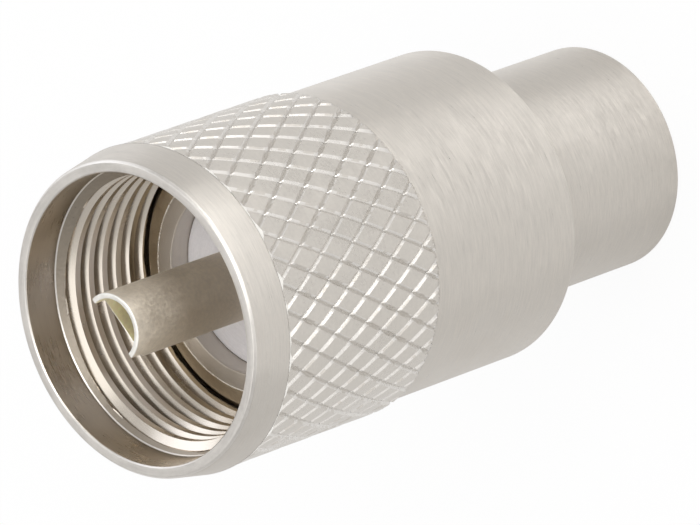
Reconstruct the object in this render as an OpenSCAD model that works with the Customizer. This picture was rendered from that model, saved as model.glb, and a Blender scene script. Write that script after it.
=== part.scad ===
// UHF connector plug for 10 mm coaxial cable, four pieces, millimetres.
// It stands on its cable end: origin in the middle of that end, +Z along the axis towards the mating end.

/* [Show] */
// node to build: all, coupling_ring, plug_body, insulator or centre_contact
// facets of the round shapes in a preview
smooth = 128; // [48:16:192]

/* [Overall] */
// height of the coupling ring's rim above the cable end
rim_z = 37.5; // [36.5:0.1:39]
// how far the contact's tip stands out beyond the rim
tip_out = 1.8; // [1.2:0.1:3]

/* [Coupling ring outside] */
// length of the coupling ring
ring_len = 25.9; // [25:0.1:27]
// outside diameter at the rim
rim_d = 17.68; // [17.5:0.02:17.9]
// diameter of the smooth rear band
band_d = 17.75; // [17.4:0.05:17.85]
// diameter over the knurl's pads
knurl_d = 18.32; // [18.2:0.02:18.4]
// how much wider than the knurl the tapered front band ends
taper_proud = 0.08; // [0.04:0.02:0.12]
// distance from the rim to the knurl's front edge
knurl_front = 2.3; // [2.1:0.1:2.6]
// length of the knurl
knurl_len = 12.35; // [11.5:0.05:12.8]
// chamfer on the outer edge of the rim
rim_chamfer = 0.14; // [0.05:0.01:0.2]
// chamfer on the outer edge of the ring's rear face
rear_chamfer = 0.25; // [0.1:0.05:0.4]

/* [Diamond knurl] */
// grooves round the ring in each direction
knurl_starts = 38; // [30:1:46]
// whole diamonds along the knurl
knurl_rows = 5; // [4:1:6]
// width of a groove at the top, square to its run
groove_w = 0.3; // [0.2:0.02:0.4]
// depth of a groove
groove_depth = 0.22; // [0.14:0.02:0.24]

/* [Coupling ring inside] */
// diameter of the counterbore behind the rim
counterbore_d = 16.3; // [16.2:0.05:16.6]
// depth of the counterbore
counterbore_depth = 2.3; // [2:0.1:2.5]
// minor diameter of the 5/8-24 coupling thread
thread_minor_d = 14.95; // [14.75:0.05:15]
// depth from the rim at which the coupling thread ends
thread_end = 8.8; // [8.7:0.05:8.9]
// diameter of the relief behind the thread
relief_d = 16.2; // [16.15:0.05:16.4]
// height of the ring's inner shoulder above the cable end
shoulder_z = 24.6; // [23.8:0.1:25.2]

/* [Plug body] */
// diameter of the barrel
barrel_d = 12.74; // [12.6:0.02:12.9]
// height of the barrel's upper end
barrel_len = 15.5; // [14.5:0.1:16.5]
// how much smaller in radius the waist behind the flange is than the barrel
waist_step = 0.37; // [0.27:0.01:0.47]
// chamfer on the barrel's rear edge
barrel_chamfer = 0.2; // [0.1:0.05:0.3]
// depth of the lip's face below the rim
lip_depth = 8.4; // [8.2:0.1:8.6]
// outside diameter of the lip
lip_d = 12.6; // [12.4:0.1:12.8]
// depth of the flange's face below the rim
flange_depth = 8.8; // [8.8:0.05:9.1]
// diameter over the flange's retaining thread
flange_d = 15.75; // [15.6:0.05:15.8]
// diameter of the flange's flat front face
flange_face_d = 14.6; // [14.4:0.1:14.7]
// thickness of the flange
flange_t = 3; // [2.8:0.1:3.2]
// thickness of the barrel's wall round the bore for the cable's jacket
barrel_wall = 1.07; // [0.97:0.01:1.17]
// depth of the bore for the cable's jacket
cable_bore_len = 12.5; // [11:0.5:13]
// chamfer at the mouth of that bore
cable_chamfer = 0.35; // [0.2:0.05:0.4]
// thickness of the waist's wall round the bore for the cable's core and braid
waist_wall = 1.9; // [1.8:0.05:2.1]
// diameter of the four solder holes
solder_hole_d = 3.2; // [2.8:0.1:3.6]
// height of the solder holes
solder_hole_z = 18.8; // [18:0.1:20]

/* [Insulator] */
// thickness of the waist's wall round the insulator's seat
seat_wall = 0.75; // [0.65:0.05:0.95]
// depth of the insulator's face below the lip
insulator_recess = 1.3; // [0.8:0.1:1.6]
// length of the insulator
insulator_len = 5.5; // [5:0.1:6]

/* [Centre contact] */
// outside diameter of the contact
contact_d = 3.92; // [3.9:0.01:4]
// diameter of the contact's bore
conductor_bore_d = 3.3; // [3.1:0.1:3.4]
// diameter of the contact's root in the insulator, and of its tail
root_d = 4.3; // [4.1:0.1:4.6]
// diameter of the collar behind the insulator
collar_d = 5.8; // [5.4:0.1:6.2]
// thickness of that collar
collar_t = 1.2; // [1:0.1:1.6]
// length of the tail behind the collar
tail_len = 2.2; // [1.5:0.1:3]
// how far the straight cut runs down from the tip
nib_straight = 0.75; // [0.5:0.05:1]
// how far the slanting cut runs down below it
nib_slant = 2.05; // [1.8:0.05:2.3]
// direction that the open side of the tip faces, in degrees from +X
nib_turn = 214; // [0:1:359]

/* [Hidden] */
$fn = smooth;
// clearance between parts that are pressed or rest together
seat_gap = 0.02;
// radial clearance between the ring and the barrel
ring_clearance = 0.25;
// inner radius of the knurled sleeve, and how far it is buried in the ring all round
knurl_root = 8.55;
knurl_bury = 0.05;
rim_r = rim_d / 2;
band_r = band_d / 2;
knurl_r = knurl_d / 2;
taper_r = knurl_r + taper_proud;
counterbore_r = counterbore_d / 2;
thread_r = thread_minor_d / 2;
relief_r = relief_d / 2;
barrel_r = barrel_d / 2;
ring_bore_r = barrel_r + ring_clearance;
ring_rear_z = rim_z - ring_len;
knurl_top_z = rim_z - knurl_front;
knurl_low_z = knurl_top_z - knurl_len;
counterbore_z = rim_z - counterbore_depth;
thread_end_z = rim_z - thread_end;
lead_in = counterbore_r - thread_r;
mouth_break = 0.05;
bore_break = 0.3;
lip_z = rim_z - lip_depth;
flange_z = rim_z - flange_depth;
flange_back_z = flange_z - flange_t;
flange_r = flange_d / 2;
flange_face_r = flange_face_d / 2;
waist_r = barrel_r - waist_step;
lip_r = lip_d / 2;
lip_break = 0.08;
cable_r = barrel_r - barrel_wall;
core_r = waist_r - waist_wall;
seat_r = waist_r - seat_wall;
insulator_top_z = lip_z - insulator_recess;
insulator_low_z = insulator_top_z - insulator_len;
contact_r = contact_d / 2;
root_r = root_d / 2;
conductor_r = conductor_bore_d / 2;
tip_z = rim_z + tip_out;
collar_top_z = insulator_low_z - seat_gap;
collar_low_z = collar_top_z - collar_t;
tail_z = collar_low_z - tail_len;

// knurl lattice: grooves cross at every other point of a grid of columns and rows
columns = 2 * knurl_starts;
levels = 2 * knurl_rows;
sleeve_low = knurl_low_z - knurl_bury;
sleeve_top = knurl_top_z + knurl_bury;
level_h = (sleeve_top - sleeve_low) / levels;
column_deg = 360 / columns;
column_w = knurl_r * column_deg * PI / 180;
helix = atan(column_w / level_h);
inset_deg = (groove_w / 2 / cos(helix)) / knurl_r * 180 / PI;
inset_z = groove_w / 2 / sin(helix);
groove_r = knurl_r - groove_depth;

// point of the lattice at radius r, column i and level j, moved by degrees da and height dz
function lattice(r, i, j, da = 0, dz = 0) =
    let (a = i * column_deg + da)
    [r * cos(a), r * sin(a), sleeve_low + j * level_h + dz];

// the lattice's own points: groove bottoms where grooves cross, then four pad corners per pad
function is_crossing(i, j) = (i + j) % 2 == 0;
grid = [for (j = [0:levels]) for (i = [0:columns - 1]) if (is_crossing(i, j)) [i, j]];
pads = [for (j = [0:levels]) for (i = [0:columns - 1]) if (!is_crossing(i, j)) [i, j]];
crossing_points = [for (g = grid) lattice(groove_r, g[0], g[1])];
pad_points = [
    for (p = pads)
    let (low = p[1] == 0, high = p[1] == levels)
    for (k = [0:3])
    k == 0 ? lattice(knurl_r, p[0] - 1, p[1], inset_deg, 0) :
    k == 1 ? lattice(knurl_r, p[0] + 1, p[1], -inset_deg, 0) :
    k == 2 ? lattice(knurl_r, p[0], p[1] - (low ? 0 : 1), 0, low ? 0 : inset_z) :
    lattice(knurl_r, p[0], p[1] + (high ? 0 : 1), 0, high ? 0 : -inset_z)
];
inner_points = [
    for (z = [sleeve_low, sleeve_top]) for (i = [0:knurl_starts - 1])
    let (a = 2 * i * column_deg)
    [knurl_root * cos(a), knurl_root * sin(a), z]
];
pad_base = len(crossing_points);
inner_base = pad_base + len(pad_points);

// numbers of the points in the lists above
function wrap(i) = (i + columns) % columns;
function crossing_no(i, j) = j * knurl_starts + floor(wrap(i) / 2);
function pad_no(i, j, k) = pad_base + 4 * (j * knurl_starts + floor(wrap(i) / 2)) + k;
function inner_no(i, top) = inner_base + (top ? knurl_starts : 0) + (i + knurl_starts) % knurl_starts;

// faces of one pad at i, j: its flat top, and the groove flanks beside it
function pad_faces(i, j) =
    let (
        w = pad_no(i, j, 0), e = pad_no(i, j, 1), s = pad_no(i, j, 2), n = pad_no(i, j, 3),
        cw = crossing_no(i - 1, j), ce = crossing_no(i + 1, j),
        upper = j < levels ? [
            [w, n, e],
            [cw, crossing_no(i, j + 1), n], [cw, n, w],
            [crossing_no(i, j + 1), ce, e], [crossing_no(i, j + 1), e, n]
        ] : [],
        lower = j > 0 ? [
            [w, e, s],
            [crossing_no(i, j - 1), cw, w], [crossing_no(i, j - 1), w, s],
            [ce, crossing_no(i, j - 1), s], [ce, s, e]
        ] : []
    )
    concat(upper, lower);

// end faces between the knurl's outline and the buried inner circle
function low_end(k) =
    let (i = 2 * k + 1, c = crossing_no(2 * k, 0), d = crossing_no(2 * k + 2, 0))
    [[inner_no(k, false), c, pad_no(i, 0, 0)],
     [inner_no(k, false), pad_no(i, 0, 0), pad_no(i, 0, 1)],
     [inner_no(k, false), pad_no(i, 0, 1), inner_no(k + 1, false)],
     [inner_no(k + 1, false), pad_no(i, 0, 1), d]];
function high_end(k) =
    let (i = 2 * k + 1, c = crossing_no(2 * k, levels), d = crossing_no(2 * k + 2, levels))
    [[inner_no(k, true), pad_no(i, levels, 0), c],
     [inner_no(k, true), pad_no(i, levels, 1), pad_no(i, levels, 0)],
     [inner_no(k, true), inner_no(k + 1, true), pad_no(i, levels, 1)],
     [inner_no(k + 1, true), d, pad_no(i, levels, 1)]];
function inner_wall(k) =
    [[inner_no(k, false), inner_no(k + 1, false), inner_no(k + 1, true)],
     [inner_no(k, false), inner_no(k + 1, true), inner_no(k, true)]];

// sleeve that carries the diamond knurl
module knurl_sleeve() {
    faces = concat(
        [for (p = pads) each pad_faces(p[0], p[1])],
        [for (k = [0:knurl_starts - 1]) each low_end(k)],
        [for (k = [0:knurl_starts - 1]) each high_end(k)],
        [for (k = [0:knurl_starts - 1]) each inner_wall(k)]
    );
    polyhedron(points = concat(crossing_points, pad_points, inner_points), faces = faces);
}

// turned blank of the coupling ring with all its bores
module ring_blank() {
    rotate_extrude()
    polygon([
        [ring_bore_r + bore_break, ring_rear_z],
        [band_r - rear_chamfer, ring_rear_z],
        [band_r, ring_rear_z + rear_chamfer],
        [band_r, knurl_low_z],
        [knurl_root + knurl_bury, knurl_low_z],
        [knurl_root + knurl_bury, knurl_top_z],
        [taper_r, knurl_top_z],
        [rim_r, rim_z - rim_chamfer],
        [rim_r - rim_chamfer, rim_z],
        [counterbore_r + mouth_break, rim_z],
        [counterbore_r, rim_z - mouth_break],
        [counterbore_r, counterbore_z],
        [thread_r, counterbore_z - lead_in],
        [thread_r, thread_end_z],
        [relief_r, thread_end_z],
        [relief_r, shoulder_z],
        [ring_bore_r, shoulder_z],
        [ring_bore_r, ring_rear_z + bore_break]
    ]);
}

module coupling_ring() {
    color([0.74, 0.73, 0.7])
    union() {
        ring_blank();
        knurl_sleeve();
    }
}

module plug_body() {
    flange_chamfer = flange_r - flange_face_r;
    core_cone = cable_r - core_r;
    color([0.72, 0.71, 0.68])
    difference() {
        rotate_extrude()
        polygon([
            [cable_r + cable_chamfer, 0],
            [barrel_r - barrel_chamfer, 0],
            [barrel_r, barrel_chamfer],
            [barrel_r, barrel_len - bore_break],
            [barrel_r - bore_break, barrel_len],
            [waist_r, barrel_len],
            [waist_r, flange_back_z],
            [flange_r - bore_break, flange_back_z],
            [flange_r, flange_back_z + bore_break],
            [flange_r, flange_z - flange_chamfer],
            [flange_face_r, flange_z],
            [lip_r, flange_z],
            [lip_r, lip_z - lip_break],
            [lip_r - lip_break, lip_z],
            [seat_r, lip_z],
            [seat_r, insulator_low_z - seat_gap],
            [core_r, insulator_low_z - seat_gap],
            [core_r, cable_bore_len + core_cone],
            [cable_r, cable_bore_len],
            [cable_r, cable_chamfer]
        ]);
        for (k = [0:3])
            rotate([0, 0, 45 + 90 * k])
            translate([0, 0, solder_hole_z])
            rotate([0, 90, 0])
            cylinder(h = waist_r + 1, d = solder_hole_d);
    }
}

module insulator() {
    color([0.9, 0.89, 0.92])
    rotate_extrude()
    polygon([
        [root_r + seat_gap, insulator_low_z],
        [seat_r - seat_gap, insulator_low_z],
        [seat_r - seat_gap, insulator_top_z],
        [root_r + seat_gap, insulator_top_z]
    ]);
}

// block that opens one side of the contact's tip, with a slanting floor
module nib_cut() {
    reach = contact_r + 1;
    rotate([0, 0, nib_turn])
    translate([0, reach, 0])
    rotate([90, 0, 0])
    linear_extrude(height = 2 * reach)
    polygon([
        [0, tip_z + 1],
        [0, tip_z - nib_straight],
        [contact_r, tip_z - nib_straight - nib_slant],
        [reach, tip_z - nib_straight - nib_slant * reach / contact_r],
        [reach, tip_z + 1]
    ]);
}

module centre_contact() {
    tip_break = 0.06;
    color([0.56, 0.53, 0.48])
    difference() {
        rotate_extrude()
        polygon([
            [conductor_r, tail_z],
            [root_r, tail_z],
            [root_r, collar_low_z],
            [collar_d / 2, collar_low_z],
            [collar_d / 2, collar_top_z],
            [root_r, collar_top_z],
            [root_r, insulator_top_z],
            [contact_r, insulator_top_z],
            [contact_r, tip_z - tip_break],
            [contact_r - tip_break, tip_z],
            [conductor_r, tip_z]
        ]);
        nib_cut();
    }
}

coupling_ring();
plug_body();
insulator();
centre_contact();
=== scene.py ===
import math

import bmesh
import bpy
from mathutils import Matrix, Vector, noise


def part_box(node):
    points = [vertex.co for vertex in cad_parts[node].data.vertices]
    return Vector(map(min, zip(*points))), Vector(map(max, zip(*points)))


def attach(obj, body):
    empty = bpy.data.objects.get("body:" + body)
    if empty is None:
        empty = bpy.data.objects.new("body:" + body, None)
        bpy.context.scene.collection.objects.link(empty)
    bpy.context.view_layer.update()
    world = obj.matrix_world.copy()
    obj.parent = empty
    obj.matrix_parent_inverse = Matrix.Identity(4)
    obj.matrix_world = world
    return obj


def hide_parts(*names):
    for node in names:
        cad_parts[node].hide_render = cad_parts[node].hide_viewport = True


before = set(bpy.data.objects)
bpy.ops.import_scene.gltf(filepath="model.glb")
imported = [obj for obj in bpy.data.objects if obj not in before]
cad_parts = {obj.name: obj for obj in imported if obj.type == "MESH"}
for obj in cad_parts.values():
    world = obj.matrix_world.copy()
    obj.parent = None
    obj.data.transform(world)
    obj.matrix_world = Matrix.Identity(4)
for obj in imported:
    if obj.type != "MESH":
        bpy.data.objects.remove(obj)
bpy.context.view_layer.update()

bl_info = {
    "name": "UHF connector plug",
    "version": (1, 0, 0),
    "blender": (4, 5, 0),
    "location": "View3D > Sidebar > UHF plug",
    "description": "Builds the looks of a UHF connector plug round its packed CAD frame",
    "category": "Add Mesh",
}

MM = 0.001
MERGE_DISTANCE = 1.5e-6

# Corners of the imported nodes' boxes, in metres
RING_LOW, RING_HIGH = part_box("coupling_ring")
BODY_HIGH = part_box("plug_body")[1]
BUSH_LOW, BUSH_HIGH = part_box("insulator")
PIN_LOW, PIN_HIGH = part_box("centre_contact")


def length(name, description, millimetres, low=0.0, high=60.0):
    """A size in metres, given here in millimetres."""
    return bpy.props.FloatProperty(
        name=name, description=description, default=millimetres * MM, min=low * MM, max=high * MM,
        unit="LENGTH", precision=5,
    )


def colour(name, description, rgb):
    """A colour that a user can change."""
    return bpy.props.FloatVectorProperty(
        name=name, description=description, default=rgb, min=0.0, max=1.0, size=3, subtype="COLOR",
    )


def amount(name, description, value, low=0.0, high=1.0):
    """A plain number without a unit."""
    return bpy.props.FloatProperty(name=name, description=description, default=value, min=low, max=high)


def whole(name, description, value, low, high):
    """A whole number."""
    return bpy.props.IntProperty(name=name, description=description, default=value, min=low, max=high)


class UHF_PG_ring(bpy.types.PropertyGroup):
    """Sizes of the coupling ring."""

    rim_radius: length("Rim radius", "Outside radius at the rim", 8.84)
    band_radius: length("Band radius", "Radius of the smooth rear band", 8.875)
    knurl_radius: length("Knurl radius", "Radius over the knurl's pads", 9.16)
    taper_radius: length("Taper radius", "Radius at which the tapered front band ends", 9.235)
    knurl_front: length("Knurl front", "Distance from the rim to the knurl", 2.3)
    knurl_length: length("Knurl length", "Length of the knurl", 12.35)
    knurl_starts: whole("Knurl starts", "Grooves round the ring in each direction", 38, 8, 80)
    knurl_rows: whole("Knurl rows", "Whole diamonds along the knurl", 5, 1, 12)
    groove_width: length("Groove width", "Width of a groove, square to its run", 0.27)
    groove_depth: length("Groove depth", "Depth of a groove", 0.15)
    counterbore_radius: length("Counterbore radius", "Radius behind the rim", 8.15)
    counterbore_depth: length("Counterbore depth", "Depth of the counterbore", 2.3)
    thread_minor: length("Thread minor radius", "Radius of the coupling thread's crests", 7.475)
    thread_height: length("Thread height", "Depth of the coupling thread", 0.458)
    thread_pitch: length("Thread pitch", "Distance between crests, 24 to the inch", 1.0583)
    thread_end: length("Thread end", "Depth at which the coupling thread ends", 8.8)
    thread_phase: length("Thread phase", "Height of a crest on the +X side", 33.64)
    relief_radius: length("Relief radius", "Radius of the bore behind the thread", 8.1)
    shoulder: length("Shoulder height", "Height of the inner shoulder", 24.6)
    rear_bore: length("Rear bore radius", "Radius of the bore round the barrel", 6.62)


class UHF_PG_plug(bpy.types.PropertyGroup):
    """Sizes of the plug's body, insulator and contact."""

    barrel_radius: length("Barrel radius", "Outside radius of the barrel", 6.37)
    barrel_length: length("Barrel length", "Height of the barrel's upper end", 15.5)
    waist_radius: length("Waist radius", "Radius between barrel and flange", 6.0)
    flange_radius: length("Flange radius", "Radius over the retaining thread", 7.875)
    flange_face: length("Flange face radius", "Radius of the flange's flat front", 7.3)
    flange_top: length("Flange height", "Height of the flange's front", 28.7)
    flange_thickness: length("Flange thickness", "Thickness of the flange", 3.0)
    lip_radius: length("Lip radius", "Outside radius of the lip", 6.3)
    seat_radius: length("Seat radius", "Radius of the insulator's seat", 5.25)
    core_radius: length("Core bore radius", "Radius of the bore for the cable's core", 4.1)
    cable_radius: length("Cable bore radius", "Radius of the bore for the cable's jacket", 5.3)
    cable_depth: length("Cable bore depth", "Depth of that bore", 12.5)
    solder_radius: length("Solder hole radius", "Radius of the four solder holes", 1.6)
    solder_height: length("Solder hole height", "Height of the solder holes", 18.8)
    contact_radius: length("Contact radius", "Outside radius of the contact", 1.96)
    contact_bore: length("Contact bore radius", "Radius of the contact's bore", 1.65)
    contact_root: length("Contact root radius", "Radius inside the insulator", 2.15)
    collar_radius: length("Collar radius", "Radius of the collar behind the insulator", 2.9)
    collar_thickness: length("Collar thickness", "Thickness of that collar", 1.2)
    nib_straight: length("Straight cut", "Length of the straight cut at the tip", 0.75)
    nib_slant: length("Slanting cut", "Length of the slanting cut below it", 2.05)
    nib_turn: bpy.props.FloatProperty(
        name="Open side", description="Direction the tip's open side faces", default=math.radians(214),
        min=0.0, max=2 * math.pi, subtype="ANGLE", unit="ROTATION")


class UHF_PG_finish(bpy.types.PropertyGroup):
    """Colours and roughness."""

    nickel: colour("Nickel", "Colour of the plated outside", (0.625, 0.59, 0.542))
    knurl: colour("Knurl", "Colour of the knurl's diamonds", (0.585, 0.553, 0.508))
    # Grooves: a lighter copy of the nickel, a painted highlight standing in for the glints along the knurl's
    # grooves
    groove: colour("Grooves", "Colour of the knurl's grooves", (0.68, 0.655, 0.62))
    nickel_inside: colour("Nickel inside", "Colour of the plating in the bores", (0.7, 0.64, 0.56))
    # Rim: a lighter copy of the nickel, painted light on the rim's flat face
    rim: colour("Rim", "Colour of the rim's flat face", (0.74, 0.71, 0.67))
    bore: colour("Bore", "Colour of the counterbore", (0.6, 0.535, 0.45))
    # Lead-in: a much darker copy of the nickel, painted shade on the cone inside the ring's mouth in place of the
    # bright reflection it would show
    lead_in_painted_shade: colour("Lead-in", "Colour of the cone before the thread", (0.32, 0.28, 0.23))
    lip: colour("Lip", "Colour of the lip and the seat's wall", (0.6, 0.56, 0.51))
    # Flange: a brown tone, a painted reflection of the ring's thread wall on the flange's front and the lip's
    # outer wall
    flange: colour("Flange", "Colour of the dull flange", (0.5, 0.42, 0.31))
    # Burr: a near-white copy of the nickel, a painted highlight on the knurl's front edge and the lip's turned
    # edge
    burr_highlight: colour("Burr", "Colour of the bright turned edge", (0.95, 0.93, 0.88))
    # Silver inside: much lighter than the contact's silver, painted light in the contact's bore, which gets little
    # light
    silver_inside_painted_light: colour("Silver inside", "Colour of the contact's bore", (1.0, 0.94, 0.74))
    # Silver cut: near white, a painted highlight on the up-facing cut faces of the tip
    silver_cut_highlight: colour("Silver cut", "Colour of the cut edges at the tip", (0.95, 0.93, 0.88))
    silver: colour("Silver", "Colour of the contact", (0.84, 0.77, 0.66))
    ptfe: colour("PTFE", "Colour of the insulator", (0.84, 0.82, 0.84))
    nickel_roughness: amount("Nickel roughness", "Roughness of the turned outside", 0.42)
    knurl_roughness: amount("Knurl roughness", "Roughness of the knurl's pads", 0.34)
    silver_roughness: amount("Silver roughness", "Roughness of the contact", 0.56)


class UHF_PG_stage(bpy.types.PropertyGroup):
    """Light, floor and camera."""

    key: amount("Key light", "Power of the low key light in watts", 1.8, 0.0, 50.0)
    second: amount("Second key light", "Power of the low light beside it in watts", 1.1, 0.0, 50.0)
    strip: amount("Strip light", "Power of the tall strip light in watts", 0.42, 0.0, 50.0)
    broad: amount("Broad light", "Power of the broad light behind in watts", 1.2, 0.0, 50.0)
    fill: amount("Fill light", "Power of the fill light by the camera in watts", 1.7, 0.0, 50.0)
    top: amount("Top light", "Power of the light overhead in watts", 1.8, 0.0, 50.0)
    sky: amount("Surround", "Strength of the pale surround", 0.6, 0.0, 5.0)
    floor: colour("Floor", "Colour of the floor", (0.86, 0.86, 0.86))
    backdrop_share: amount("Floor white share", "Share of plain white in the floor", 0.92)
    mirror_share: amount("Floor in reflections", "Part of that share that the metal shows", 0.3)


class Graph:
    """Adds and links nodes in one node tree."""

    def __init__(self, tree):
        self.tree = tree

    def put(self, socket, value):
        """Links a socket or sets a plain value."""
        if isinstance(value, bpy.types.NodeSocket):
            self.tree.links.new(value, socket)
        else:
            socket.default_value = value

    def add(self, kind, inputs=None, **choices):
        """A new node with its inputs linked or set and its choices made."""
        node = self.tree.nodes.new(kind)
        for key, value in choices.items():
            setattr(node, key, value)
        for key, value in (inputs or {}).items():
            self.put(node.inputs[key], value)
        return node

    def math(self, operation, *terms):
        node = self.add("ShaderNodeMath", dict(enumerate(terms)), operation=operation)
        return node.outputs[0]

    def sum(self, *terms):
        total = terms[0]
        for term in terms[1:]:
            total = self.math("ADD", total, term)
        return total

    def times(self, a, b):
        return self.math("MULTIPLY", a, b)

    def minus(self, a, b):
        return self.math("SUBTRACT", a, b)

    def xyz(self, vector):
        node = self.add("ShaderNodeSeparateXYZ", {0: vector})
        return node.outputs[0], node.outputs[1], node.outputs[2]

    def vector(self, x, y, z):
        return self.add("ShaderNodeCombineXYZ", {0: x, 1: y, 2: z}).outputs[0]

    def on_cylinder(self, radius, turn, height):
        """The place at a radius, a turn in radians and a height."""
        return self.vector(self.times(radius, self.math("COSINE", turn)),
                           self.times(radius, self.math("SINE", turn)), height)

    def ramp(self, value, low, high):
        """0 below low, 1 above high, smooth between."""
        return self.add("ShaderNodeMapRange", {"Value": value, "From Min": low, "From Max": high},
                        interpolation_type="SMOOTHSTEP").outputs[0]


def group_of(name, kind, inputs, outputs):
    """A node group with named sockets: its tree, its graph and the values given to it."""
    tree = bpy.data.node_groups.new(name, kind)
    for label, socket, value in inputs:
        item = tree.interface.new_socket(name=label, in_out="INPUT", socket_type="NodeSocket" + socket)
        if value is not None:
            item.default_value = value
    for label, socket in outputs:
        tree.interface.new_socket(name=label, in_out="OUTPUT", socket_type="NodeSocket" + socket)
    g = Graph(tree)
    return tree, g, g.add("NodeGroupInput").outputs


# Meshes

def revolve(points, segments, closed):
    """Vertices and faces of a profile of (radius, height) turned about Z."""
    verts, faces = [], []
    count = len(points)
    for k in range(segments):
        turn = 2 * math.pi * k / segments
        c, s = math.cos(turn), math.sin(turn)
        verts += [(r * c, r * s, z) for r, z in points]
    for k in range(segments):
        a, b = k * count, (k + 1) % segments * count
        for i in range(count if closed else count - 1):
            j = (i + 1) % count
            faces.append((a + i, b + i, b + j, a + j))
    return verts, faces


def rounded(points, radii, steps=3):
    """The profile with its corners turned into small arcs."""
    out = []
    n = len(points)
    for i, (point, radius) in enumerate(zip(points, radii)):
        p = Vector(point)
        if radius <= 0:
            out.append(tuple(p))
            continue
        before, after = Vector(points[i - 1]) - p, Vector(points[(i + 1) % n]) - p
        reach = min(radius, before.length * 0.45, after.length * 0.45)
        start, end = p + before.normalized() * reach, p + after.normalized() * reach
        for k in range(steps + 1):
            t = k / steps
            out.append(tuple(start * (1 - t) ** 2 + p * 2 * t * (1 - t) + end * t ** 2))
    return out


def mesh_of(name, verts, faces):
    """A plain mesh of vertices and faces."""
    mesh = bpy.data.meshes.new(name)
    mesh.from_pydata(verts, [], faces)
    mesh.update()
    return mesh


def object_of(name, mesh, material=None):
    """An object at the origin, linked to the scene."""
    piece = bpy.data.objects.new(name, mesh)
    bpy.context.scene.collection.objects.link(piece)
    if material:
        mesh.materials.clear()
        mesh.materials.append(material)
    return piece


def lathe(name, profile, segments, material, closed=False):
    """An object turned from a profile."""
    return object_of(name, mesh_of(name, *revolve(profile, segments, closed)), material)


def place_out(point):
    """A point's distance from the axis."""
    return math.hypot(point.x, point.y)


def evaluated(piece):
    """The object's evaluated mesh as a plain mesh; its modifiers are removed."""
    graph = bpy.context.evaluated_depsgraph_get()
    graph.update()
    mesh = bpy.data.meshes.new_from_object(piece.evaluated_get(graph), depsgraph=graph)
    piece.modifiers.clear()
    while len(mesh.materials) > 1 and mesh.materials[0] is None:
        mesh.materials.pop(index=0)
    piece.data = mesh
    return piece


def grow(name, tree, values, material):
    """A piece made by a Geometry Nodes tree, as a plain mesh."""
    piece = object_of(name, mesh_of(name, [(0, 0, 0)], []))
    modifier = piece.modifiers.new(name, "NODES")
    modifier.node_group = tree
    found = {item.name: item.identifier for item in tree.interface.items_tree
             if item.item_type == "SOCKET" and item.in_out == "INPUT"}
    for key, value in values.items():
        modifier[found[key]] = value
    modifier[found["Material"]] = material
    return evaluated(piece)


def repaint(piece, material, chosen):
    """Gives one more material to the faces whose centre is chosen."""
    piece.data.materials.append(material)
    last = len(piece.data.materials) - 1
    for face in piece.data.polygons:
        if chosen(face.center):
            face.material_index = last


def weld(name, pieces, sharp):
    """Joins pieces into one object and marks edges sharper than an angle in degrees."""
    joined = bmesh.new()
    materials = []
    for piece in pieces:
        part = bmesh.new()
        part.from_mesh(piece.data)
        bmesh.ops.remove_doubles(part, verts=part.verts, dist=MERGE_DISTANCE)
        bmesh.ops.dissolve_degenerate(part, edges=part.edges, dist=1e-7)
        offset = len(materials)
        materials += [m for m in piece.data.materials] or [None]
        for face in part.faces:
            face.material_index += offset
            face.smooth = True
        spare = bpy.data.meshes.new("spare")
        part.to_mesh(spare)
        part.free()
        joined.from_mesh(spare)
        bpy.data.meshes.remove(spare)
    mesh = bpy.data.meshes.new(name)
    joined.to_mesh(mesh)
    joined.free()
    for material in materials:
        mesh.materials.append(material)
    for piece in pieces:
        bpy.data.objects.remove(piece)
    mesh.set_sharp_from_angle(angle=math.radians(sharp))
    return object_of(name, mesh)


# Geometry Nodes

def end_tree(g, geometry, material):
    """Ends a Geometry Nodes tree: doubles merged, instances realized, material set."""
    merged = g.add("GeometryNodeMergeByDistance", {"Geometry": geometry, "Distance": MERGE_DISTANCE})
    whole = g.add("GeometryNodeRealizeInstances", {"Geometry": merged.outputs[0]})
    painted = g.add("GeometryNodeSetMaterial", {"Geometry": whole.outputs[0], "Material": material})
    g.add("NodeGroupOutput", {0: painted.outputs[0]})


def shape_group(name, *inputs):
    """A Geometry Nodes group that takes geometry, its own inputs and a material."""
    return group_of(name, "GeometryNodeTree", (
        ("Geometry", "Geometry", None), *inputs, ("Material", "Material", None)), (("Geometry", "Geometry"),))


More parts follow.
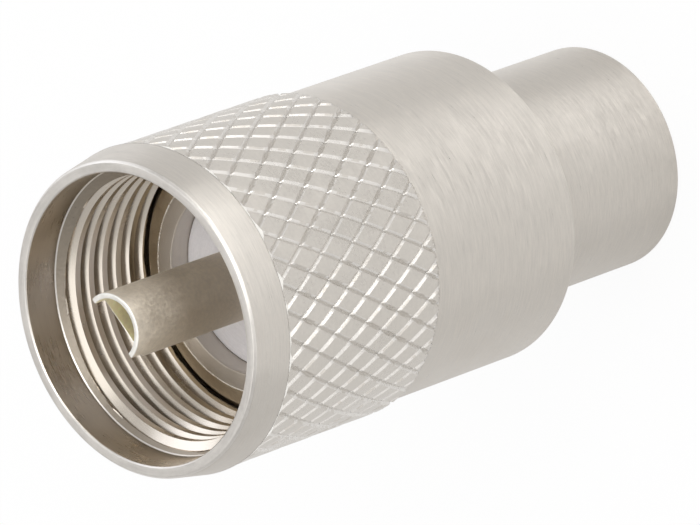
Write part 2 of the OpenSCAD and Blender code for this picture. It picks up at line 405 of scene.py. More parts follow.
def knurl_tree():
    """Diamond pads between two families of helical grooves, wrapped on a cylinder."""
    tree, g, given = shape_group(
        "Diamond knurl", ("Starts", "Int", 38), ("Rows", "Int", 5), ("Low", "Float", 0.0),
        ("High", "Float", 0.01), ("Clip Low", "Float", 0.0), ("Clip High", "Float", 0.01),
        ("Radius", "Float", 0.009), ("Band Radius", "Float", 0.0088), ("Groove Width", "Float", 0.0003),
        ("Groove Depth", "Float", 0.0002), ("Crown", "Float", 0.00001), ("Fade", "Float", 0.0005))
    per_cell = 11
    crowding = 0.555 / (2 * math.pi)
    apart = 10.0
    wander_round, wander_up = 6.0, 700.0
    starts, rows = given["Starts"], given["Rows"]
    levels = g.times(rows, 2.0)
    level_height = g.math("DIVIDE", g.minus(given["High"], given["Low"]), levels)

    cell = g.add("GeometryNodeMeshGrid", {
        "Size X": 1.0, "Size Y": 1.0, "Vertices X": per_cell, "Vertices Y": per_cell})
    x, y, _ = g.xyz(g.add("GeometryNodeInputPosition").outputs[0])

    def crowded(value):
        """The cell's rows and columns drawn together at its edges, where the grooves are."""
        t = g.math("ADD", value, 0.5)
        wave = g.math("SINE", g.times(t, 2 * math.pi))
        return g.minus(t, g.times(wave, crowding))

    cell = g.add("GeometryNodeSetPosition", {
        "Geometry": cell.outputs["Mesh"], "Position": g.vector(crowded(x), crowded(y), 0.0)})

    index = g.add("GeometryNodeInputIndex").outputs[0]
    across = g.math("MODULO", index, starts)
    along = g.math("FLOOR", g.math("DIVIDE", g.math("ADD", index, 0.5), starts))
    spots = g.add("GeometryNodePoints", {
        "Count": g.times(starts, g.math("ADD", levels, 1.0)),
        "Position": g.vector(g.times(across, apart), g.times(along, apart), 0.0)})
    copies = g.add("GeometryNodeInstanceOnPoints", {
        "Points": spots.outputs[0], "Instance": cell.outputs[0]})
    real = g.add("GeometryNodeRealizeInstances", {"Geometry": copies.outputs[0]})

    px, py, _ = g.xyz(g.add("GeometryNodeInputPosition").outputs[0])
    k = g.math("FLOOR", g.times(g.math("ADD", px, 0.5), 1 / apart))
    j = g.math("FLOOR", g.times(g.math("ADD", py, 0.5), 1 / apart))
    a, b = g.minus(px, g.times(k, apart)), g.minus(py, g.times(j, apart))
    level = g.minus(j, 1.0)
    odd = g.math("FLOORED_MODULO", level, 2.0)
    column = g.math("ADD", g.times(k, 2.0), odd)
    turn = g.math("DIVIDE", g.times(g.sum(column, g.minus(a, b)), math.pi), starts)
    height = g.math("ADD", given["Low"], g.times(g.sum(level, a, b), level_height))
    clipped = g.math("MAXIMUM", given["Clip Low"], g.math("MINIMUM", height, given["Clip High"]))

    half_w = g.math("DIVIDE", g.times(given["Radius"], math.pi), starts)
    side = g.math("SQRT", g.math("ADD", g.times(half_w, half_w), g.times(level_height, level_height)))
    span = g.math("DIVIDE", g.times(g.times(half_w, level_height), 2.0), side)
    near_a = g.math("MINIMUM", a, g.minus(1.0, a))
    near_b = g.math("MINIMUM", b, g.minus(1.0, b))
    distance = g.times(g.math("MINIMUM", near_a, near_b), span)
    wander = g.add("ShaderNodeTexNoise", {
        "Vector": g.on_cylinder(wander_round, turn, g.times(height, wander_up)),
        "Scale": 1.0, "Detail": 2.0}, noise_dimensions="3D")
    drift = g.minus(wander.outputs[0], 0.5)
    half_groove = g.times(g.times(given["Groove Width"], 0.5), g.math("ADD", 1.0, g.times(drift, 0.5)))
    groove = g.minus(1.0, g.math("MINIMUM", g.math("DIVIDE", distance, half_groove), 1.0))
    dome = g.times(g.math("SINE", g.times(a, math.pi)), g.math("SINE", g.times(b, math.pi)))
    crown = g.times(given["Crown"], g.math("ADD", dome, g.times(drift, 0.8)))
    surface = g.math("ADD", g.minus(given["Radius"], g.times(groove, given["Groove Depth"])), crown)

    ragged = g.times(g.math("ADD", drift, 0.35), given["Fade"])
    rise = g.ramp(g.minus(clipped, given["Clip Low"]), ragged, g.math("ADD", ragged, given["Fade"]))
    radius = g.math("ADD", g.times(surface, rise), g.times(given["Band Radius"], g.minus(1.0, rise)))
    placed = g.add("GeometryNodeSetPosition", {
        "Geometry": real.outputs[0], "Position": g.on_cylinder(radius, turn, clipped)})
    end_tree(g, placed.outputs[0], given["Material"])
    return tree


def thread_tree():
    """A right-handed screw thread on a bore (sign 1) or a shaft (sign -1), run out into both ends."""
    tree, g, given = shape_group(
        "Screw thread", ("Sign", "Float", 1.0), ("Segments", "Int", 128), ("Low", "Float", 0.0),
        ("High", "Float", 0.01), ("Crest", "Float", 0.007), ("Height", "Float", 0.0005),
        ("Pitch", "Float", 0.001), ("Phase", "Float", 0.0), ("Low End", "Float", 0.008),
        ("High End", "Float", 0.008), ("Low Slope", "Float", 1.0), ("High Slope", "Float", 1.0))
    per_pitch = 16.0
    half_flat, flank = 0.1875, 0.25
    low, high, pitch, sign = given["Low"], given["High"], given["Pitch"], given["Sign"]
    step = g.math("DIVIDE", pitch, per_pitch)
    rows = g.math("CEIL", g.math("ADD", g.math("DIVIDE", g.minus(high, low), step), 3 * per_pitch))
    sheet = g.add("GeometryNodeMeshGrid", {
        "Size X": 1.0, "Size Y": 1.0, "Vertices X": g.math("ADD", given["Segments"], 1.0),
        "Vertices Y": g.math("ADD", rows, 1.0)})
    x, y, _ = g.xyz(g.add("GeometryNodeInputPosition").outputs[0])
    u = g.math("ADD", x, 0.5)
    row = g.math("ROUND", g.times(g.math("ADD", y, 0.5), rows))
    turn = g.times(u, 2 * math.pi)
    reach = g.minus(g.minus(low, given["Phase"]), g.times(pitch, 1.5))
    first = g.math("FLOOR", g.math("DIVIDE", reach, step))
    count = g.math("ADD", row, first)
    height = g.sum(given["Phase"], g.times(count, step), g.times(u, pitch))
    clipped = g.math("MAXIMUM", low, g.math("MINIMUM", height, high))
    share = g.math("DIVIDE", g.minus(clipped, g.math("ADD", given["Phase"], g.times(u, pitch))), pitch)
    off = g.math("ABSOLUTE", g.minus(share, g.math("ROUND", share)))
    depth = g.math("MAXIMUM", 0.0, g.math("MINIMUM", g.math("DIVIDE", g.minus(off, half_flat), flank), 1.0))
    cut = g.math("ADD", g.times(sign, given["Crest"]), g.times(depth, given["Height"]))
    top = g.minus(g.times(sign, given["High End"]), g.times(g.minus(high, clipped), given["High Slope"]))
    bottom = g.minus(g.times(sign, given["Low End"]), g.times(g.minus(clipped, low), given["Low Slope"]))
    radius = g.times(sign, g.math("MAXIMUM", cut, g.math("MAXIMUM", top, bottom)))
    placed = g.add("GeometryNodeSetPosition", {
        "Geometry": sheet.outputs["Mesh"], "Position": g.on_cylinder(radius, turn, clipped)})
    bore = g.add("FunctionNodeCompare", {0: sign, 1: 0.0}, data_type="FLOAT", operation="GREATER_THAN")
    turned = g.add("GeometryNodeFlipFaces", {"Mesh": placed.outputs[0], "Selection": bore.outputs[0]})
    end_tree(g, turned.outputs[0], given["Material"])
    return tree


# Shader groups

def turned_group():
    """Fine turning lines round the axis, with faint blotches of handling."""
    tree = bpy.data.node_groups.get("Turned surface")
    if tree:
        return tree
    tree, g, given = group_of("Turned surface", "ShaderNodeTree", (
        ("Colour", "Color", (0.6, 0.6, 0.6, 1.0)), ("Roughness", "Float", 0.3),
        ("Lines", "Float", 1.0), ("Grain", "Float", 0.3), ("Blotch", "Float", 0.4),
    ), (("Colour", "Color"), ("Roughness", "Float"), ("Height", "Float")))
    per_metre = 1 / MM
    place = g.add("ShaderNodeVectorMath", {0: g.add("ShaderNodeTexCoord").outputs["Object"],
                                           1: (per_metre,) * 3}, operation="MULTIPLY").outputs[0]
    x, y, z = g.xyz(place)
    out = g.math("SQRT", g.math("ADD", g.times(x, x), g.times(y, y)))
    away = g.math("MAXIMUM", out, 0.01)
    cx, cy = g.math("DIVIDE", x, away), g.math("DIVIDE", y, away)

    def pattern(vector, scale):
        """Noise at a place, from 0 to 1."""
        return g.add("ShaderNodeTexNoise", {"Vector": vector, "Scale": scale, "Detail": 2.0, "Roughness": 0.6},
                     noise_dimensions="3D").outputs[0]

    def drawn(around, across):
        """A place stretched round the axis, so that noise on it makes turning lines."""
        return g.vector(g.times(cx, around), g.math("ADD", g.times(cy, around), g.times(out, across)),
                        g.times(z, across))

    broad_lines, fine_lines = pattern(drawn(4.0, 5.5), 1.0), pattern(drawn(9.0, 19.0), 1.0)
    lines = g.math("ADD", g.times(broad_lines, 0.4), g.times(fine_lines, 0.6))
    grain, blotch = pattern(place, 5.0), pattern(place, 0.42)
    rough, shade = given["Roughness"], 1.0
    for key, value, on_roughness, on_shade in (
        ("Lines", lines, 0.34, 0.3), ("Grain", grain, 0.16, 0.14), ("Blotch", blotch, 0.3, 0.12),
    ):
        swing = g.times(g.times(g.minus(value, 0.5), 2.0), given[key])
        rough = g.math("ADD", rough, g.times(swing, on_roughness))
        shade = g.math("ADD", shade, g.times(swing, on_shade))
    tint = g.add("ShaderNodeVectorMath", {0: given["Colour"], 1: g.vector(shade, shade, shade)},
                 operation="MULTIPLY").outputs[0]
    relief = g.math("ADD", g.times(lines, given["Lines"]), g.times(grain, given["Grain"]))
    g.add("NodeGroupOutput", {0: tint, 1: g.math("MAXIMUM", rough, 0.08), 2: relief})
    return tree


def blank(name):
    """A material with an empty node tree, and its graph."""
    material = bpy.data.materials.new(name)
    material.use_nodes = True
    material.node_tree.nodes.clear()
    return material, Graph(material.node_tree)


def turned(g, base, roughness, lines, grain, blotch, relief, depth):
    """The inputs that a turned surface gives to a Principled shader."""
    surface = g.add("ShaderNodeGroup", node_tree=turned_group())
    for key, value in (("Colour", (*base, 1.0)), ("Roughness", roughness), ("Lines", lines),
                       ("Grain", grain), ("Blotch", blotch)):
        surface.inputs[key].default_value = value
    bump = g.add("ShaderNodeBump", {"Strength": relief, "Distance": depth, "Height": surface.outputs["Height"]})
    return {"Base Color": surface.outputs["Colour"], "Roughness": surface.outputs["Roughness"],
            "Normal": bump.outputs[0]}


def metal(name, base, roughness, lines, grain, blotch, relief, stretch=0.0):
    """A plated metal with a turned surface. Stretch draws its highlights out across the turning lines."""
    material, g = blank(name)
    shader = g.add("ShaderNodeBsdfPrincipled", {
        **turned(g, base, roughness, lines, grain, blotch, relief, 0.03 * MM),
        "Metallic": 1.0, "Anisotropic": stretch, "Anisotropic Rotation": 0.25,
        "Tangent": g.add("ShaderNodeTangent", direction_type="RADIAL", axis="Z").outputs[0]})
    g.add("ShaderNodeOutputMaterial", {"Surface": shader.outputs[0]})
    return material


def plastic(name, base):
    """Satin white PTFE, a little light passes into it."""
    material, g = blank(name)
    shader = g.add("ShaderNodeBsdfPrincipled", {
        **turned(g, base, 0.5, lines=0.5, grain=0.5, blotch=0.4, relief=0.25, depth=0.02 * MM),
        "Subsurface Weight": 0.15, "Subsurface Scale": 0.6 * MM, "Subsurface Radius": (1.0, 0.9, 0.85)})
    g.add("ShaderNodeOutputMaterial", {"Surface": shader.outputs[0]})
    return material


def settings():
    """The ring's, plug's, finish's and stage's property groups."""
    scene = bpy.context.scene
    return scene.uhf_ring, scene.uhf_plug, scene.uhf_finish, scene.uhf_stage


def hand_over(piece, node, body):
    """Puts a finished piece in place of its CAD node."""
    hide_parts(node)
    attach(piece, body)


class UHF_OT_ring(bpy.types.Operator):
    """Build the coupling ring with its knurl and thread"""

    bl_idname = "uhf.ring"
    bl_label = "Coupling ring"

    def lace(self, ring, height, material):
        """The scalloped ridge of pushed-up metal that the knurling leaves along the front band; its near-white
        colour is a painted highlight.
        """
        per_start = 16
        segments = ring.knurl_starts * per_start
        crest = ring.taper_radius - 0.012 * MM
        verts, faces = [], []
        for k in range(segments):
            turn = 2 * math.pi * k / segments
            c, s = math.cos(turn), math.sin(turn)
            scallop = 0.5 + 0.5 * math.cos(turn * ring.knurl_starts)
            slow, quick = (noise.noise(Vector((c * f, s * f, z))) for f, z in ((9, 1.7), (40, 4.1)))
            hang = MM * (0.04 + max(0.0, 0.15 * scallop + 0.16 * (slow + 0.5 * quick)))
            verts += [(r * c, r * s, z) for r, z in (
                (ring.taper_radius, height), (crest, height - 0.5 * hang),
                (crest - 0.03 * MM, height - hang), (ring.knurl_radius - 0.06 * MM, height - hang))]
        for k in range(segments):
            a, b = k * 4, (k + 1) % segments * 4
            faces += [(a + i + 1, b + i + 1, b + i, a + i) for i in range(3)]
        return object_of("lace", mesh_of("lace", verts, faces), material)

    def execute(self, context):
        ring, _, finish, _ = settings()
        rim, rear = RING_HIGH.z, RING_LOW.z
        outside = metal("nickel_turned", finish.nickel, finish.nickel_roughness,
                        lines=1.0, grain=0.25, blotch=0.35, relief=0.3, stretch=0.9)
        pads = metal("nickel_knurl", finish.knurl, finish.knurl_roughness,
                     lines=0.3, grain=0.7, blotch=0.8, relief=0.3, stretch=0.5)
        inside = metal("nickel_bore", finish.bore, 0.3,
                       lines=0.4, grain=0.15, blotch=0.35, relief=0.2, stretch=0.6)
        fluted = metal("nickel_thread", finish.nickel_inside, 0.24,
                       lines=0.06, grain=0.08, blotch=0.4, relief=0.04)
        # Lighter nickel on the rim's flat face: painted light
        rim_painted_light_metal = metal("nickel_rim_painted_light", finish.rim, 0.4, lines=0.5, grain=0.5, blotch=0.4, relief=0.35)
        # Lighter nickel for the knurl's groove faces: painted highlight
        groove_highlight_metal = metal("nickel_groove_highlight", finish.groove, 0.3, lines=0.2, grain=0.5, blotch=0.5, relief=0.3)
        # Dark metal for the lead-in cone: painted shade
        painted_shade_cone_metal = metal("nickel_lead_in", finish.lead_in_painted_shade, 0.4, lines=0.15, grain=1.0, blotch=0.5, relief=0.9)
        # Near-white metal for the lace: painted highlight on the bright crescents along the knurl's front edge
        lace_highlight_metal = metal("nickel_lace", finish.burr_highlight, 0.32, lines=0.2, grain=1.0, blotch=0.6, relief=0.8)
        knurl_top = rim - ring.knurl_front
        knurl_low = knurl_top - ring.knurl_length
        under = ring.knurl_radius - ring.groove_depth - 0.12 * MM
        counter = rim - ring.counterbore_depth
        thread_low = rim - ring.thread_end
        edge, rim_break, mouth_break, bore_break = (w * MM for w in (0.06, 0.14, 0.08, 0.3))
        cone_slope = 1.45
        profile = [
            (ring.rear_bore + bore_break, rear), (ring.band_radius - 0.2 * MM, rear),
            (ring.band_radius, rear + 0.22 * MM), (ring.band_radius, knurl_low + 0.25 * MM),
            (under, knurl_low + 0.3 * MM), (under, knurl_top),
            (ring.taper_radius, knurl_top), (ring.rim_radius, rim - rim_break),
            (ring.rim_radius - rim_break, rim), (ring.counterbore_radius + mouth_break, rim),
            (ring.counterbore_radius, rim - mouth_break), (ring.counterbore_radius, counter + edge),
            (ring.counterbore_radius - edge, counter),
        ]
        soft = [MM * r for r in (0.05, 0.1, 0.1, 0, 0, 0, 0.04, 0.05, 0.03, 0.02, 0.02, 0, 0)]
        shell = lathe("shell", rounded(profile, soft), 256, outside)
        shell.data.materials.append(rim_painted_light_metal)
        shell.data.materials.append(inside)
        # Faces at the rim and inside the counterbore's radius take the lighter rim nickel, painted light; the
        # counterbore's wall takes the bore metal
        for face in shell.data.polygons:
            out = place_out(face.center)
            if out < ring.counterbore_radius + 0.03 * MM and face.center.z > counter + edge:
                face.material_index = 2
            elif face.center.z > rim - 0.12 * MM or out < ring.counterbore_radius:
                face.material_index = 1
        lace = self.lace(ring, knurl_top, lace_highlight_metal)
        rear_part = [
            (ring.relief_radius, thread_low), (ring.relief_radius, ring.shoulder),
            (ring.rear_bore, ring.shoulder), (ring.rear_bore, rear + bore_break),
            (ring.rear_bore + bore_break, rear),
        ]
        back = lathe("back", rear_part, 128, inside)
        knurl = grow("knurl", knurl_tree(), {
            "Starts": ring.knurl_starts, "Rows": ring.knurl_rows, "Low": knurl_low - 0.05 * MM,
            "High": knurl_top + 0.05 * MM, "Clip Low": knurl_low, "Clip High": knurl_top,
            "Radius": ring.knurl_radius, "Band Radius": ring.band_radius - 0.01 * MM,
            "Groove Width": ring.groove_width, "Groove Depth": ring.groove_depth,
            "Crown": 0.012 * MM, "Fade": 0.28 * MM}, pads)
        flank = ring.knurl_radius - 0.25 * ring.groove_depth
        # Faces deep in the grooves take the lighter metal, a painted highlight
        repaint(knurl, groove_highlight_metal, lambda at: place_out(at) < flank)
        mouth = ring.counterbore_radius - edge
        thread = grow("thread", thread_tree(), {
            "Sign": 1.0, "Segments": 160, "Low": thread_low, "High": counter, "Crest": ring.thread_minor,
            "Height": ring.thread_height, "Pitch": ring.thread_pitch, "Phase": ring.thread_phase,
            "Low End": ring.relief_radius, "High End": mouth,
            "Low Slope": 4.0, "High Slope": cone_slope}, fluted)
        # Faces on the lead-in cone take the dark metal, painted shade
        repaint(thread, painted_shade_cone_metal,
                lambda at: abs(place_out(at) - (mouth - (counter - at.z) * cone_slope)) < 0.02 * MM)
        piece = weld("coupling_ring_looks", [shell, lace, back, knurl, thread], 32)
        hand_over(piece, "coupling_ring", "coupling")
        return {"FINISHED"}


class UHF_OT_body(bpy.types.Operator):
    """Build the plug's body with its retaining thread and solder holes"""

    bl_idname = "uhf.body"
    bl_label = "Plug body"
    segments = 160

    def drilled(self, plug, low, high, material):
        """The waist's tube between two heights, with the four solder holes cut through its wall."""
        inner, outer = plug.core_radius, plug.waist_radius
        wall = [(inner, low), (outer, low), (outer, high), (inner, high)]
        tube = lathe("waist", wall, self.segments, material, closed=True)
        sides = 48
        overshoot = 1.0 * MM
        verts, faces = [], []
        for k in range(4):
            turn = Matrix.Rotation(math.radians(45 + 90 * k), 3, "Z")
            base = len(verts)
            for reach in (inner - overshoot, outer + overshoot):
                for i in range(sides):
                    a = 2 * math.pi * i / sides
                    verts.append(turn @ Vector((reach, plug.solder_radius * math.cos(a),
                                                plug.solder_height + plug.solder_radius * math.sin(a))))
            faces += [(base + i, base + (i + 1) % sides, base + sides + (i + 1) % sides, base + sides + i)
                      for i in range(sides)]
            faces += [[base + i for i in reversed(range(sides))], [base + sides + i for i in range(sides)]]
        drill = object_of("drill", mesh_of("drill", verts, faces))
        cut = tube.modifiers.new("holes", "BOOLEAN")
        cut.operation, cut.solver, cut.object = "DIFFERENCE", "EXACT", drill
        evaluated(tube)
        bpy.data.objects.remove(drill)
        if len(tube.data.polygons) < 4 * sides:
            raise RuntimeError("the solder holes could not be cut")
        open_ends = bmesh.new()
        open_ends.from_mesh(tube.data)
        caps = [f for f in open_ends.faces if abs(f.normal.z) > 0.99 and
                not low + 1e-6 <= f.calc_center_median().z <= high - 1e-6]
        bmesh.ops.delete(open_ends, geom=caps, context="FACES")
        open_ends.to_mesh(tube.data)
        open_ends.free()
        return tube

    def execute(self, context):
        ring, plug, finish, _ = settings()
        outside = metal("nickel_body", finish.nickel, finish.nickel_roughness,
                        lines=1.0, grain=0.25, blotch=0.35, relief=0.3, stretch=0.9)
        inside = metal("nickel_inner", finish.lip, 0.38, lines=0.25, grain=0.4, blotch=0.4, relief=0.2)
        # Brown metal for the flange and its step: painted reflection of the ring's thread wall
        reflection_tinted = metal("nickel_flange_reflection", finish.flange, 0.42, lines=0.3, grain=1.0, blotch=0.8, relief=0.5)
        # Near-white metal for the lip's edge: painted highlight on the bright dotted line there
        burr_highlight = metal("nickel_burr", finish.burr_highlight, 0.3, lines=0.2, grain=1.0, blotch=1.0, relief=1.0)
        lip, back = BODY_HIGH.z, plug.flange_top - plug.flange_thickness
        hole_low, hole_high = (plug.solder_height + side * 1.5 * plug.solder_radius for side in (-1, 1))
        rear_break, shoulder_break, flange_break, mouth_break = (w * MM for w in (0.2, 0.3, 0.3, 0.35))
        low = [
            (plug.cable_radius + mouth_break, 0), (plug.barrel_radius - rear_break, 0),
            (plug.barrel_radius, rear_break), (plug.barrel_radius, plug.barrel_length - shoulder_break),
            (plug.barrel_radius - shoulder_break, plug.barrel_length), (plug.waist_radius, plug.barrel_length),
            (plug.waist_radius, hole_low),
        ]
        low_soft = [MM * r for r in (0.03, 0.1, 0.12, 0.05, 0.05, 0, 0)]
        neck = [(plug.waist_radius, hole_high), (plug.waist_radius, back),
                (plug.flange_radius - flange_break, back)]
        step = [
            (plug.flange_face, plug.flange_top), (plug.lip_radius, plug.flange_top),
            (plug.lip_radius, lip - 0.08 * MM)]
        edge = [(plug.lip_radius, lip - 0.08 * MM), (plug.lip_radius - 0.02 * MM, lip),
                (plug.lip_radius - 0.09 * MM, lip - 0.01 * MM)]
        high = [
            (plug.lip_radius - 0.09 * MM, lip - 0.01 * MM),
            (plug.seat_radius + 0.04 * MM, lip - 0.01 * MM), (plug.seat_radius, lip - 0.05 * MM),
            (plug.seat_radius, BUSH_LOW.z), (plug.core_radius, BUSH_LOW.z), (plug.core_radius, hole_high),
        ]
        high_soft = [MM * r for r in (0, 0.02, 0.02, 0, 0, 0)]
        core = [
            (plug.core_radius, hole_low),
            (plug.core_radius, plug.cable_depth + plug.cable_radius - plug.core_radius),
            (plug.cable_radius, plug.cable_depth),
        ]
        barrel, neck = (lathe(name, profile, self.segments, outside) for name, profile in (
            ("barrel", rounded(low, low_soft)), ("neck", neck)))
        waist = self.drilled(plug, hole_low, hole_high, outside)
        step, edge, front, core = (lathe(name, profile, self.segments, skin) for name, profile, skin in (
            ("step", step, reflection_tinted), ("edge", edge, burr_highlight), ("front", rounded(high, high_soft), inside),
            ("core", core, inside)))
        tree = bpy.data.node_groups.get("Screw thread") or thread_tree()
        flange = grow("flange", tree, {
            "Sign": -1.0, "Segments": 128, "Low": back, "High": plug.flange_top, "Crest": plug.flange_radius,
            "Height": 0.5 * MM, "Pitch": ring.thread_pitch, "Phase": plug.flange_top - 0.55 * MM,
            "Low End": plug.flange_radius - flange_break, "High End": plug.flange_face,
            "Low Slope": 1.0, "High Slope": 1.0}, reflection_tinted)
        grip = grow("grip", tree, {
            "Sign": 1.0, "Segments": 96, "Low": 0.0, "High": plug.cable_depth, "Crest": plug.cable_radius,
            "Height": 0.3 * MM, "Pitch": 1.1 * MM, "Phase": 0.4 * MM,
            "Low End": plug.cable_radius + mouth_break, "High End": plug.cable_radius,
            "Low Slope": 1.0, "High Slope": 1.0}, inside)
        piece = weld("plug_body_looks", [barrel, neck, waist, step, edge, front, core, flange, grip], 32)
        hand_over(piece, "plug_body", "plug")
        return {"FINISHED"}


class UHF_OT_insulator(bpy.types.Operator):
    """Build the white insulator"""

    bl_idname = "uhf.insulator"
    bl_label = "Insulator"

    def execute(self, context):
        _, plug, finish, _ = settings()
        top, low = BUSH_HIGH.z, BUSH_LOW.z
        outer, inner = BUSH_HIGH.x, plug.contact_root + 0.02 * MM
        profile = [(inner, low), (outer, low), (outer, top), (inner, top)]
        soft = [MM * r for r in (0, 0.1, 0.06, 0.05)]
        bush = lathe("bush", rounded(profile, soft), 96, plastic("ptfe_white", finish.ptfe), closed=True)
        piece = weld("insulator_looks", [bush], 40)
        hand_over(piece, "insulator", "plug")
        return {"FINISHED"}


class UHF_OT_contact(bpy.types.Operator):
    """Build the hollow centre contact with its open tip"""

    bl_idname = "uhf.contact"
    bl_label = "Centre contact"

    def execute(self, context):
        _, plug, finish, _ = settings()
        segments = 96
        tip, tail = PIN_HIGH.z, PIN_LOW.z
        outer, inner = plug.contact_radius, plug.contact_bore
        collar_top = BUSH_LOW.z - 0.02 * MM
        collar_low = collar_top - plug.collar_thickness
        edge = 0.05 * MM
        join = tip - plug.nib_straight - plug.nib_slant - 1.0 * MM
        below = [
            (inner, join), (inner, tail), (outer, tail), (outer, collar_low),
            (plug.collar_radius, collar_low), (plug.collar_radius, collar_top),
            (plug.contact_root, collar_top), (plug.contact_root, BUSH_HIGH.z), (outer, BUSH_HIGH.z), (outer, join),
        ]
        silver = metal("silver_contact", finish.silver, finish.silver_roughness,
                       lines=0.2, grain=1.0, blotch=0.55, relief=0.3)
        # Lighter silver in the contact's bore: painted light
        hollow = metal("silver_bore_painted_light", finish.silver_inside_painted_light, 0.6, lines=0.3, grain=0.8, blotch=0.6, relief=0.35)
        # Near-white silver on the tip's cut faces: painted highlight
        cut = metal("silver_cut_highlight", finish.silver_cut_highlight, 0.45, lines=0.2, grain=0.8, blotch=0.6, relief=0.5)
        stem = lathe("stem", below, segments, silver)

        def ceiling(radius, turn, opened):
            """Height of the tip's wall: full on the closed side, cut down and slanting on the open one."""
            across = radius * math.cos(turn - plug.nib_turn)
            if not opened:
                return tip
            return tip - plug.nib_straight - plug.nib_slant * max(across, 0.0) / outer

        columns = []
        for k in range(segments):
            turn = plug.nib_turn + 2 * math.pi * k / segments
            facing = math.cos(turn - plug.nib_turn)
            states = [False] if facing < -1e-6 else [True]
            if abs(facing) <= 1e-6:
                states = [True, False] if math.sin(turn - plug.nib_turn) > 0 else [False, True]
            columns += [(turn, opened) for opened in states]
        strips = (silver, cut, cut, cut, cut, hollow, hollow)
        verts, faces = [], []
        for turn, opened in columns:
            c, s = math.cos(turn), math.sin(turn)
            out_top, in_top = ceiling(outer, turn, opened), ceiling(inner, turn, opened)
            ring_points = [
                (outer, join), (outer, out_top - edge), (outer - 0.3 * edge, out_top - 0.3 * edge),
                (outer - edge, out_top), (inner + edge, in_top), (inner + 0.3 * edge, in_top - 0.3 * edge),
                (inner, in_top - edge), (inner, join),
            ]
            verts += [(r * c, r * s, z) for r, z in ring_points]
        stride = len(strips) + 1
        for k in range(len(columns)):
            a, b = k * stride, (k + 1) % len(columns) * stride
            faces += [(a + i, b + i, b + i + 1, a + i + 1) for i in range(len(strips))]
        nib = object_of("nib", mesh_of("nib", verts, faces), silver)
        metals = (silver, cut, hollow)
        for material in metals[1:]:
            nib.data.materials.append(material)
        for face in nib.data.polygons:
            face.material_index = metals.index(strips[face.index % len(strips)])
        piece = weld("centre_contact_looks", [stem, nib], 34)
        hand_over(piece, "centre_contact", "plug")
        return {"FINISHED"}


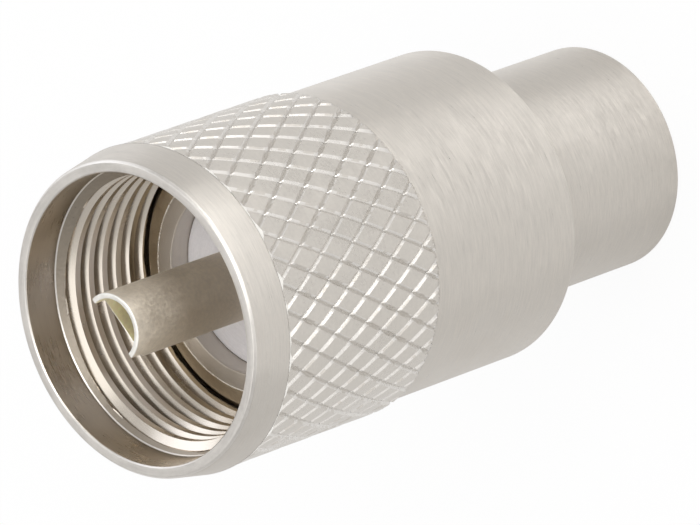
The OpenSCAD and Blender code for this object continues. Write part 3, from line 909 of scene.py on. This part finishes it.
class UHF_OT_stage(bpy.types.Operator):
    """Set up floor, light and camera"""

    bl_idname = "uhf.stage"
    bl_label = "Stage"

    def lamp(self, aim, name, power, size, azimuth, elevation, tint):
        """A rectangular area light that faces the aim from an azimuth and elevation in degrees."""
        distance = 0.8
        light = bpy.data.lights.new(name, "AREA")
        light.shape = "RECTANGLE"
        light.size, light.size_y = size
        light.energy = power
        light.color = tint
        lamp = bpy.data.objects.new(name, light)
        bpy.context.scene.collection.objects.link(lamp)
        az, el = math.radians(azimuth), math.radians(elevation)
        away = Vector((math.cos(el) * math.cos(az), math.cos(el) * math.sin(az), math.sin(el)))
        lamp.location = aim + away * distance
        lamp.rotation_euler = away.to_track_quat("Z", "Y").to_euler()

    def floor(self, stage):
        """The pale floor, which looks plain to the camera and keeps the shadow."""
        material, g = blank("pale_floor")
        path = g.add("ShaderNodeLightPath").outputs
        mirrored = g.math("MAXIMUM", path["Is Glossy Ray"], path["Is Transmission Ray"])
        seen = g.math("MAXIMUM", path["Is Camera Ray"], g.times(mirrored, stage.mirror_share))
        matt = g.add("ShaderNodeBsdfDiffuse", {"Color": (*stage.floor, 1.0)})
        white = g.add("ShaderNodeEmission", {"Color": (1, 1, 1, 1), "Strength": 1.0})
        both = g.add("ShaderNodeMixShader", {
            0: g.times(seen, stage.backdrop_share), 1: matt.outputs[0], 2: white.outputs[0]})
        g.add("ShaderNodeOutputMaterial", {"Surface": both.outputs[0]})
        half = 1.5
        corners = [(-half, -half, 0), (half, -half, 0), (half, half, 0), (-half, half, 0)]
        object_of("floor", mesh_of("floor", corners, [(0, 1, 2, 3)]), material)

    def surround(self, stage):
        """The world: white to the camera, a pale glow to everything else."""
        world = bpy.data.worlds.new("surround")
        bpy.context.scene.world = world
        world.use_nodes = True
        world.node_tree.nodes.clear()
        g = Graph(world.node_tree)
        path = g.add("ShaderNodeLightPath").outputs
        glow = g.add("ShaderNodeBackground", {"Color": (1.0, 0.99, 0.98, 1.0), "Strength": stage.sky})
        plain = g.add("ShaderNodeBackground", {"Color": (1, 1, 1, 1), "Strength": 1.0})
        mixed = g.add("ShaderNodeMixShader", {0: path["Is Camera Ray"], 1: glow.outputs[0], 2: plain.outputs[0]})
        g.add("ShaderNodeOutputWorld", {"Surface": mixed.outputs[0]})

    def camera(self):
        """The camera at the photograph's viewing angle, placed from the rim's centre."""
        sensor, focal_pixels, picture_width = 36.0, 10255.08, 700.0
        camera = bpy.data.cameras.new("camera")
        camera.sensor_fit = "HORIZONTAL"
        camera.sensor_width = sensor
        camera.lens = sensor * focal_pixels / picture_width
        camera.clip_start, camera.clip_end = 0.05, 10.0
        view = bpy.data.objects.new("camera", camera)
        bpy.context.scene.collection.objects.link(view)
        right = Vector((0.71887751, -0.16820845, -0.67447835))
        up = Vector((0.0, 0.970281504, -0.24197893))
        back = Vector((0.69513677, 0.17395321, 0.69751355))
        turn = Matrix((right, up, back)).transposed().to_4x4()
        place = Vector((0, 0, RING_HIGH.z)) + Vector((0.39093014, 0.09681402, 0.37539298))
        view.matrix_world = Matrix.Translation(place) @ turn
        bpy.context.scene.camera = view

    def execute(self, context):
        _, _, _, stage = settings()
        self.floor(stage)
        self.surround(stage)
        aim = Vector((0, 0, 0.02))
        plain, cool = (1, 1, 1), (0.87, 0.91, 1.0)
        self.lamp(aim, "key_light", stage.key, (0.7, 0.3), 55, 12, plain)
        self.lamp(aim, "second_key_light", stage.second, (1.1, 0.3), -10, 12, plain)
        self.lamp(aim, "strip_light", stage.strip, (0.14, 0.7), 58, 25, plain)
        self.lamp(aim, "broad_light", stage.broad, (0.5, 0.6), 140, 25, cool)
        self.lamp(aim, "fill_light", stage.fill, (0.4, 0.4), 26, 50, plain)
        self.lamp(aim, "top_light", stage.top, (0.8, 0.8), 194, 84, plain)
        self.camera()
        context.scene.view_settings.view_transform = "Standard"
        return {"FINISHED"}


class UHF_PT_panel(bpy.types.Panel):
    """Sizes, colours and builders of the plug"""

    bl_idname = "UHF_PT_panel"
    bl_label = "UHF plug"
    bl_space_type = "VIEW_3D"
    bl_region_type = "UI"
    bl_category = "UHF plug"

    def draw(self, context):
        for group in settings():
            box = self.layout.box()
            for key in group.__annotations__:
                box.prop(group, key)
        for operator in OPERATORS:
            self.layout.operator(operator.bl_idname)


GROUPS = {
    "uhf_ring": UHF_PG_ring, "uhf_plug": UHF_PG_plug, "uhf_finish": UHF_PG_finish, "uhf_stage": UHF_PG_stage,
}
OPERATORS = (UHF_OT_ring, UHF_OT_body, UHF_OT_insulator, UHF_OT_contact, UHF_OT_stage)


def register():
    for key, group in GROUPS.items():
        bpy.utils.register_class(group)
        setattr(bpy.types.Scene, key, bpy.props.PointerProperty(type=group))
    for operator in OPERATORS:
        bpy.utils.register_class(operator)
    bpy.utils.register_class(UHF_PT_panel)


def unregister():
    bpy.utils.unregister_class(UHF_PT_panel)
    for operator in reversed(OPERATORS):
        bpy.utils.unregister_class(operator)
    for key, group in reversed(list(GROUPS.items())):
        delattr(bpy.types.Scene, key)
        bpy.utils.unregister_class(group)


def main():
    """Builds the pieces and the stage."""
    register()
    bpy.ops.uhf.ring()
    bpy.ops.uhf.body()
    bpy.ops.uhf.insulator()
    bpy.ops.uhf.contact()
    bpy.ops.uhf.stage()


if __name__ == "__main__":
    main()
